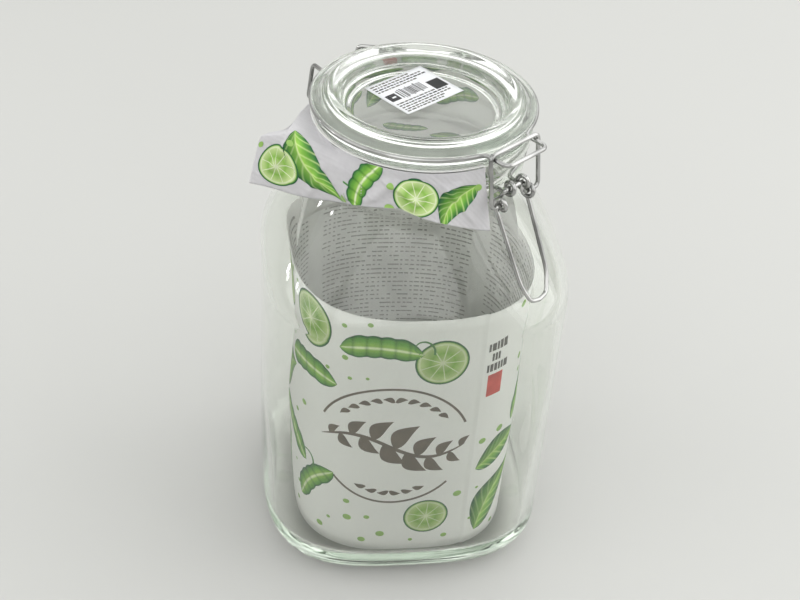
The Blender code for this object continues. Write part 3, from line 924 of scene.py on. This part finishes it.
def makeRowsTree():
    tree, given = newTree(
        "strokeRows", columns="Int", rows="Int", width="Float", height="Float", shortest="Float",
        longest="Float", thick="Float", seed="Int")
    grid = addNode(tree, "GeometryNodeMeshGrid", {
        "Size X": given["width"], "Size Y": given["height"],
        "Vertices X": given["columns"], "Vertices Y": given["rows"]}).outputs["Mesh"]
    chance = addNode(tree, "FunctionNodeRandomValue", {
        "Probability": rowGaps, "Seed": given["seed"]}, data_type="BOOLEAN").outputs
    dropped = next(item for item in chance if item.enabled)
    kept = addNode(tree, "GeometryNodeDeleteGeometry", {"Geometry": grid, "Selection": dropped}).outputs[0]
    span = addNode(tree, "FunctionNodeRandomValue", {
        "Min": given["shortest"], "Max": given["longest"], "Seed": given["seed"]}, data_type="FLOAT").outputs
    length = next(item for item in span if item.enabled)
    size = addNode(tree, "ShaderNodeCombineXYZ", {"X": length, "Y": given["thick"], "Z": 1.0}).outputs[0]
    stroke = addNode(tree, "GeometryNodeMeshGrid", {
        "Size X": 1.0, "Size Y": 1.0, "Vertices X": 3, "Vertices Y": 2}).outputs["Mesh"]
    laid = addNode(tree, "GeometryNodeInstanceOnPoints", {
        "Points": kept, "Instance": stroke, "Scale": size}).outputs[0]
    strokes = addNode(tree, "GeometryNodeRealizeInstances", {"Geometry": laid}).outputs[0]
    tree.links.new(strokes, tree.nodes.new("NodeGroupOutput").inputs[0])
    return tree


rowsTree = makeRowsTree()
insidePrint = {
    "columns": 28, "rows": 44, "width": 80.0, "height": 124.0, "thick": 0.8, "gap": 8.0, "middle": 94.0,
    "shortest": 0.9, "longest": 3.3,
}


def pressRows(work, surface, block, distance, height, lift, seed):
    layer = work.loops.layers.uv["print"]
    data = bpy.data.meshes.new("strokes")
    source = addObject("strokes", data)
    applyTree(source, rowsTree, {**block, "seed": seed})
    flat = evaluate(source).to_mesh()
    for face in flat.polygons:
        spots = [flat.vertices[index].co for index in face.vertices]
        made = work.faces.new([
            work.verts.new(surface(distance - spot.x, height + spot.y, lift) * mm) for spot in spots])
        made.material_index = inkNames.index("faintInk")
        for loop in made.loops:
            loop[layer].uv = (0.5, 0.5)
    bpy.data.objects.remove(source, do_unlink=True)
    bpy.data.meshes.remove(data)


def makeInsidePrint():
    blocks = int(linerRound // (insidePrint["width"] + insidePrint["gap"]))
    work = startPrint()
    for block in range(blocks):
        middle = block * linerRound / blocks
        pressRows(work, linerPoint, insidePrint, middle, insidePrint["middle"], -0.26, block + 3)
    endPrint("liner_inside_print", work, "jar", "printed_paper")


makeInsidePrint()


# Flap: the sheet folded out over the rim. "along" runs from the latch round to the free corner,
# and "down" from the neck over the fold to the lower edge.
flap = {
    "radius": 50.6, "top": 233.1, "start": -66.0, "slant": 6.0, "crest": -107.0, "crestUp": 215.0,
    "leaves": -127.0, "hug": 54.0, "free": 55.0, "thickness": 0.35,
}


def alongList(points, share):
    spot = min(share, 0.9999) * (len(points) - 1)
    index = int(spot)
    return Vector(points[index]).lerp(Vector(points[index + 1]), spot - index)


def roundNeck(angle, radius, height):
    turn = radians(angle)
    return Vector((radius * cos(turn), radius * sin(turn), height))


def freeEnd(distance, height):
    turn = radians(flap["leaves"])
    flat = Vector((cos(turn), sin(turn), 0.0)) * flap["radius"]
    return flat + Vector((sin(turn), -cos(turn), 0.0)) * distance + Vector((0.0, 0.0, height))


def flapLowEdge(angle):
    slope = -0.33 if angle > flap["crest"] else 0.175
    return flap["crestUp"] + slope * (angle - flap["crest"])


upperEdge = [roundNeck(flap["leaves"] - 21 * step, flap["radius"], flap["top"]) for step in range(4)]
upperEdge += [(-54.8, 0.5, flap["top"]), (-57.4, -6.0, flap["top"] - 0.6)]
upperEdge += [(-60.6, -11.5, flap["top"] - 1.4), (-69.0, -8.0, flap["top"] - 5.4)]
foldLine = [freeEnd(0.0, 230.2), freeEnd(20.0, 230.9), freeEnd(40.0, 231.4), freeEnd(52.8, 226.4)]
footLine = [freeEnd(0.0, 211.5), freeEnd(11.0, 208.4), freeEnd(35.0, 203.6), freeEnd(58.2, 200.6)]


# The four lines that shape the flap, at a distance from its latch end
def flapLines(distance):
    if distance < flap["hug"]:
        part = distance / flap["hug"]
        upper = flap["start"] + (flap["leaves"] - flap["start"]) * part
        lower = upper + flap["slant"] * (1 - part)
        low = flapLowEdge(lower)
        radius, top = flap["radius"], flap["top"]
        return (roundNeck(upper, radius, top), roundNeck(upper, radius + 0.2, top - 3.0),
                roundNeck((upper + lower) / 2, radius + 0.5, (top - 3.0 + low) / 2),
                roundNeck(lower, radius + 0.8, low))
    part = min((distance - flap["hug"]) / flap["free"], 1.0)
    outwards = roundNeck(flap["leaves"], 1.0, 0.0)
    fold = alongList(foldLine, part)
    foot = alongList(footLine, part) + outwards * (0.8 - 0.5 * part)
    belly = outwards * (0.4 + 1.2 * sin(part * pi))
    return alongList(upperEdge, part), fold, fold.lerp(foot, 0.5) + belly, foot


# "down" is 0 at the neck, 1 at the fold and 2 at the lower edge
def flapSmooth(distance, down):
    upper, fold, middle, foot = flapLines(distance)
    if down < 1:
        return upper.lerp(fold, down)
    part = down - 1
    pull = middle * 2 - (fold + foot) / 2
    return fold.lerp(pull, part).lerp(pull.lerp(foot, part), part)


# The same surface with its fold softened
def flapPoint(distance, down):
    soft = 0.16
    if abs(down - 1) >= soft:
        return flapSmooth(distance, down)
    part = (down - 1 + soft) / (2 * soft)
    first, corner, second = (flapSmooth(distance, 1 + side * soft) for side in (-1, 0, 1))
    return first.lerp(corner, part).lerp(corner.lerp(second, part), part)


# Each crease has its two ends, along and down, its height and its width
creases = [
    ((38.0, 1.05), (52.0, 1.95), 1.5, 3.2), ((20.0, 1.05), (6.0, 1.95), 1.3, 2.0),
    ((63.0, 1.0), (62.0, 2.0), 1.8, 4.0), ((27.0, 1.3), (34.0, 1.95), 0.9, 1.6),
    ((88.0, 1.0), (101.0, 1.7), 1.2, 2.4), ((46.0, 1.05), (30.0, 1.7), 1.4, 3.0),
    ((72.0, 1.15), (84.0, 1.98), 0.9, 1.6), ((12.0, 1.0), (22.0, 1.6), 1.0, 2.2),
    ((57.0, 1.1), (48.0, 1.8), 0.9, 1.8),
]


# Paper waves, and a few creases that stand just proud
def flapSurface(distance, down, lift):
    step = 0.4
    point = flapPoint(distance, down)
    sideways = flapPoint(distance + step, down) - flapPoint(distance - step, down)
    lengthways = flapPoint(distance, min(down + 0.02, 2.0)) - flapPoint(distance, max(down - 0.02, 0.0))
    normal = sideways.cross(lengthways).normalized()
    fall = max(0.0, min(1.0, down - 1.0))
    wave = 0.4 * fall * (1 + sin(distance * 0.22 + 0.8 * down))
    for (startAlong, startDown), (endAlong, endDown), height, width in creases:
        if min(startDown, endDown) <= down <= max(startDown, endDown):
            share = (down - startDown) / (endDown - startDown)
            off = distance - (startAlong + (endAlong - startAlong) * share)
            fade = min(1.0, 5.0 * share, 5.0 * (1 - share))
            wave += height * fade * exp(-(off / width) ** 2)
    return point + normal * (wave + lift)


def makeFlap():
    whole = flap["hug"] + flap["free"]
    surface = lambda part, down: flapSurface(part * whole, down * 2, 0.0)
    # The flap's paper is painted darker than the liner's, as painted shade
    makeSheet("paper_fold", surface, 230, 60, flap["thickness"], flapPaperWithPaintedShade,
              "jar", "folded_paper", "paper_flap")


makeFlap()


# The green motifs on the flap: a height above 0 lies over the fold, one below 0 on the front
def flapByHeight(distance, height, lift):
    along = max(0.0, min(distance, flap["hug"] + flap["free"]))
    lines = flapLines(along)
    reach = lines[0] - lines[1] if height > 0 else lines[1] - lines[3]
    down = 1 - height / max(reach.length, 0.5)
    return flapSurface(along, max(0.03, min(1.985, down)), lift)


flapMotifs = [
    ("slice", 96.0, -14.0, 21.0, 15.0), ("leaf", 77.0, -8.0, 34.0, 235.0),
    ("tendril", 63.0, -9.0, 11.0, 90.0),
    ("dot", 66.0, -19.0, 3.6, 0.0), ("pod", 52.0, -9.0, 30.0, 295.0), ("dot", 42.0, -16.0, 4.0, 0.0),
    ("dot", 88.0, -2.0, 3.0, 0.0), ("slice", 31.0, -9.0, 19.0, 0.0), ("dot", 41.0, -4.0, 3.0, 0.0),
    ("leaf", 13.0, -15.0, 27.0, 310.0), ("dot", 4.0, -6.0, 3.4, 0.0), ("dot", 107.0, -4.0, 3.2, 0.0),
]


def makeFlapPrint():
    work = startPrint()
    for kind, distance, height, size, turn in flapMotifs:
        lift = 0.26 if kind != "dot" else 0.32
        press(work, flapByHeight, kind, distance, height, size, turn, lift=lift, detail=3)
    endPrint("paper_fold_print", work, "jar", "folded_paper")


makeFlapPrint()


# Paper inside the neck, down the back of the shoulder and over the rim, so that the lid shows its print
neckPaper = {
    "radius": 39.5, "low": 206.5, "deep": 156.0, "gap": 2.5, "backStart": 84.0, "bend": 233.0,
    "over": 233.55, "out": 50.3, "backOut": 47.0, "start": -62.0, "end": -352.0,
    "thickness": 0.2, "rimThickness": 0.1, "printLift": 0.14,
}
backMotifs = [
    ("pod", 104.0, 186.0, 26.0, 20.0), ("slice", 128.0, 172.0, 17.0, 0.0), ("pod", 142.0, 192.0, 23.0, 165.0),
    ("dot", 150.0, 177.0, 3.4, 0.0), ("leaf", 166.0, 178.0, 26.0, 340.0), ("pod", 186.0, 190.0, 24.0, 15.0),
]
backRows = {
    "columns": 15, "rows": 12, "width": 42.0, "height": 34.0, "thick": 0.8, "shortest": 0.9, "longest": 2.8,
    "middle": 183.0, "places": (112.0, 168.0),
}
rimMotifs = [
    ("leaf", -200.0, 22.0), ("pod", -229.0, 25.0), ("redBar", -256.0, 7.0), ("leaf", -275.0, 18.0),
    ("slice", -297.0, 7.0), ("leaf", -316.0, 20.0), ("pod", -341.0, 22.0),
]


def neckPoint(distance, height, lift):
    angle = neckPaper["start"] - degrees(distance / neckPaper["radius"])
    ripple = 0.15 * sin(radians(7 * angle))
    fall = max(0.0, (neckPaper["low"] - height) / (neckPaper["low"] - neckPaper["deep"]))
    flare = linerRadius(radians(angle)) - neckPaper["gap"] - neckPaper["radius"]
    radius = neckPaper["radius"] + flare * (fall + 0.1 * sin(pi * fall))
    return roundNeck(angle, radius - ripple - lift, height)


rimMiddle = (neckPaper["radius"] + neckPaper["backOut"]) / 2


def rimPoint(distance, height, lift):
    radius = max(neckPaper["radius"] + 0.8, min(neckPaper["backOut"] - 0.2, rimMiddle + height))
    return roundNeck(-degrees(distance / rimMiddle), radius, neckPaper["over"] + lift)


# Over the rim the sheet is narrower behind, and its inner edge bends down into the neck
def overRim(part, out):
    first, narrow = flap["start"], flap["leaves"] - 63
    angle = first + (neckPaper["end"] - first) * part
    back = max(0.0, min(1.0, (narrow - angle) / 10))
    radiusOut = neckPaper["out"] + (neckPaper["backOut"] - neckPaper["out"]) * back
    radius = neckPaper["radius"] + (radiusOut - neckPaper["radius"]) * out
    bent = 1 - sin(pi * min(1.0, out * 6) / 2)
    drop = (neckPaper["over"] - neckPaper["bend"] + 0.2) * bent if out < 1 / 6 else 0.0
    return roundNeck(angle, radius, neckPaper["over"] - drop)


neckLength = radians(neckPaper["start"] - neckPaper["end"]) * neckPaper["radius"]


def makeNeckPaper():
    low, bend, deep, start = (neckPaper[key] for key in ("low", "bend", "deep", "backStart"))
    inside = lambda part, rise: neckPoint(part * neckLength, low + (bend - low) * rise, 0.0)
    behind = lambda part, rise: neckPoint(
        start + part * (neckLength - start), deep + (low + 0.2 - deep) * rise, 0.0)
    for name, surface, columns, rows, thickness in (
            ("neck_paper", inside, 140, 6, neckPaper["thickness"]),
            ("shoulder_paper", behind, 120, 16, neckPaper["thickness"]),
            ("rim_paper", overRim, 140, 12, neckPaper["rimThickness"])):
        makeSheet(name, surface, columns, rows, thickness, linerPaper, "jar", "folded_paper")


def makeNeckPrint():
    work = startPrint()
    draw = random.Random(9)
    lift = neckPaper["printLift"]
    distance = 6.0
    index = 0
    while distance < neckLength - 10.0:
        kind = ("leaf", "slice", "pod")[index % 3]
        size = 15.0 if kind == "slice" else 25.0
        height = (neckPaper["low"] + neckPaper["bend"]) / 2 + draw.uniform(-2.0, 2.0)
        press(work, neckPoint, kind, distance, height, size, draw.uniform(20, 50), lift=lift)
        distance += size * 0.95
        index += 1
    for kind, distance, height, size, turn in backMotifs:
        press(work, neckPoint, kind, distance, height, size, turn, lift=lift)
    for distance in backRows["places"]:
        pressRows(work, neckPoint, backRows, distance, backRows["middle"], -0.16, 21)
    for kind, angle, size in rimMotifs:
        press(work, rimPoint, kind, -radians(angle) * rimMiddle, 0.0, size, lift=0.1)
    endPrint("neck_paper_print", work, "jar", "folded_paper")


makeNeckPaper()
makeNeckPrint()


# Label on the lid, with plain bars, blocks and strokes. "lines" are the heights of the rows of strokes,
# "long" and "black" say which of them are longer or darker, and "ends" where they start and stop.
label = {
    "width": 34.6, "tall": 28.6, "centre": (-2.6, 12.9), "turn": 36.4, "up": 236.95, "thickness": 0.14,
    "film": 0.03, "lift": 0.1, "lines": (12.4, 10.6, 8.8, 7.0, -5.4, -7.2, -9.0, -10.8, -12.4),
    "long": (1, 2, 5, 6), "black": (2, 5), "ends": (-15.6, 15.6, 8.0), "bars": (-8.6, 6.4),
    "block": (12.2, -2.2, 7.4, 7.8), "cell": 1.15, "cells": (-14.9, -2.0),
}


def labelPoint(across, up, lift):
    spin = radians(label["turn"])
    x = label["centre"][0] + across * cos(spin) - up * sin(spin)
    y = label["centre"][1] + across * sin(spin) + up * cos(spin)
    curl = 0.12 * (abs(across * up) / 247.0) ** 2
    return Vector((x, y, label["up"] + curl + lift))


def makeLabel():
    width, tall = label["width"], label["tall"]
    surface = lambda part, rise: labelPoint((part - 0.5) * width, (rise - 0.5) * tall, 0.0)
    makeSheet("lid_label", surface, 16, 14, label["thickness"], labelPaper, "lid", "label", "price_label")


def makeLabelPrint():
    work = startPrint()
    draw = random.Random(5)
    lift, cell = label["lift"], label["cell"]
    across, stop = label["bars"]
    while across < stop:
        bar = draw.choice((0.3, 0.45, 0.7))
        tall = draw.choice((6.4, 6.4, 8.0))
        pressBar(work, labelPoint, "blackBar", across + bar / 2, 0.6, bar, tall, lift)
        across += bar + draw.choice((0.35, 0.5, 0.75))
    pressBar(work, labelPoint, "blackBar", *label["block"], lift)
    left, low = label["cells"]
    for row in range(5):
        for column in range(5):
            if draw.random() < 0.55 or row in (0, 4) or column in (0, 4):
                pressBar(work, labelPoint, "blackBar", left + cell * column, low + cell * row, 1.1, 1.1, lift)
    for row, height in enumerate(label["lines"]):
        across, long, short = label["ends"]
        stop = long if row in label["long"] else short
        kind = "blackBar" if row in label["black"] else "greyBar"
        while across < stop - 2.0:
            word = draw.uniform(0.8, 2.6)
            pressBar(work, labelPoint, kind, across + word / 2, height, word, 0.9, lift)
            across += word + 0.55
    endPrint("lid_label_print", work, "lid", "label", label["film"])


makeLabel()
makeLabelPrint()


# Floor and light; the lamps have their places and sizes in metres
studio = {
    "floor": (0.555, 0.555, 0.54), "floorUp": -0.1, "aim": (0.0, 0.0, 0.12),
    "sky": [
        (0.0, (0.56, 0.56, 0.54)), (0.1, (0.56, 0.56, 0.54)),
        (0.4, (0.79, 0.80, 0.78)), (0.9, (0.78, 0.79, 0.77)),
    ],
    "lamps": [
        ("backKey", (0.8, 1.1, 1.5), 2.8, 17.0),
        ("rightSide", (1.3, -0.3, 0.8), 1.7, 12.0),
        ("leftSide", (-1.3, -0.1, 0.9), 1.5, 5.5),
        ("frontFill", (-0.3, -1.4, 1.4), 1.8, 10.0),
        ("windowLow", (-0.84, 0.40, 0.26), 0.05, 0.16),
        ("windowHigh", (-0.90, 0.11, 0.42), 0.05, 0.16),
    ],
}


def makeFloor():
    material, tree, shader = finish("floorPaper", Roughness=0.9, Specular_IOR_Level=0.2)
    tint = colourRamp(tree, objectNoise(tree, 1.2, 2.0), [
        (0.3, tuple(part * 0.97 for part in studio["floor"])), (0.7, studio["floor"])])
    tree.links.new(tint, shader.inputs["Base Color"])
    bpy.ops.mesh.primitive_plane_add(size=8.0)
    floor = bpy.context.active_object
    floor.name = "floor"
    floor.data.transform(Matrix.Translation((0.0, 0.0, studio["floorUp"] * mm)))
    floor.data.materials.append(material)


def makeLamps():
    for name, spot, size, power in studio["lamps"]:
        lamp = bpy.data.lights.new(name, "AREA")
        lamp.shape = "SQUARE"
        lamp.size = size
        lamp.energy = power
        stand = addObject(name, lamp)
        stand.location = spot
        stand.rotation_euler = (Vector(spot) - Vector(studio["aim"])).to_track_quat("Z", "Y").to_euler()
    world = bpy.data.worlds.new("softBox")
    scene.world = world
    world.use_nodes = True
    tree = world.node_tree
    up = addNode(tree, "ShaderNodeSeparateXYZ", {
        "Vector": addNode(tree, "ShaderNodeTexCoord").outputs["Generated"]}).outputs[2]
    glow = colourRamp(tree, up, studio["sky"], "EASE")
    tree.links.new(glow, tree.nodes["Background"].inputs["Color"])


makeFloor()
makeLamps()
scene.view_settings.view_transform = "Standard"

# Light passes many glass faces on its way round the thick edges, so its paths may be long
for kind in ("max", "transmission", "glossy"):
    setattr(scene.cycles, kind + "_bounces", 40)
print("floor and light made")
